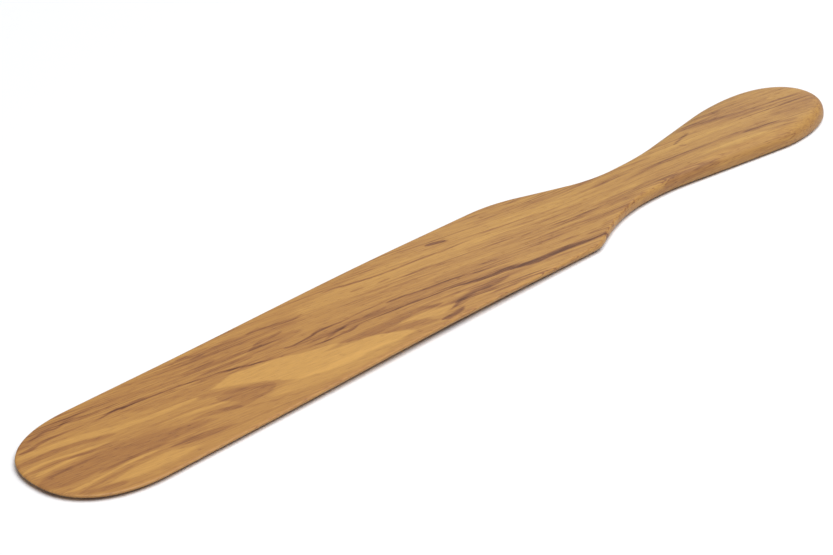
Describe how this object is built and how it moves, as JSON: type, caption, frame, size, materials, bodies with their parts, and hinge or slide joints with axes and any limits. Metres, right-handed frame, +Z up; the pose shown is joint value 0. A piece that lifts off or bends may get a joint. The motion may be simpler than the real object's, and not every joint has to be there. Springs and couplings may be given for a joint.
{
  "type": "crepe spatula",
  "caption": "Long flat crepe spatula in olive wood: thin blade with a round tip, a shoulder on one side, a narrow neck and a thick rounded handle, for turning and lifting crepes.",
  "frame": {"origin": "on the surface that the spatula lies on, under the middle of its outline", "axes": "+X along the length from the blade's tip to the handle's end, -Y towards the side with the shoulder, +Z up out of the broad top face"},
  "size_m": [0.35, 0.0474, 0.0062],
  "materials": {
    "olive_wood": "oiled olive wood sanded smooth, golden tan with brown figure, satin"
  },
  "bodies": {
    "root": {"spatula": "olive_wood"}
  },
  "joints": []
}
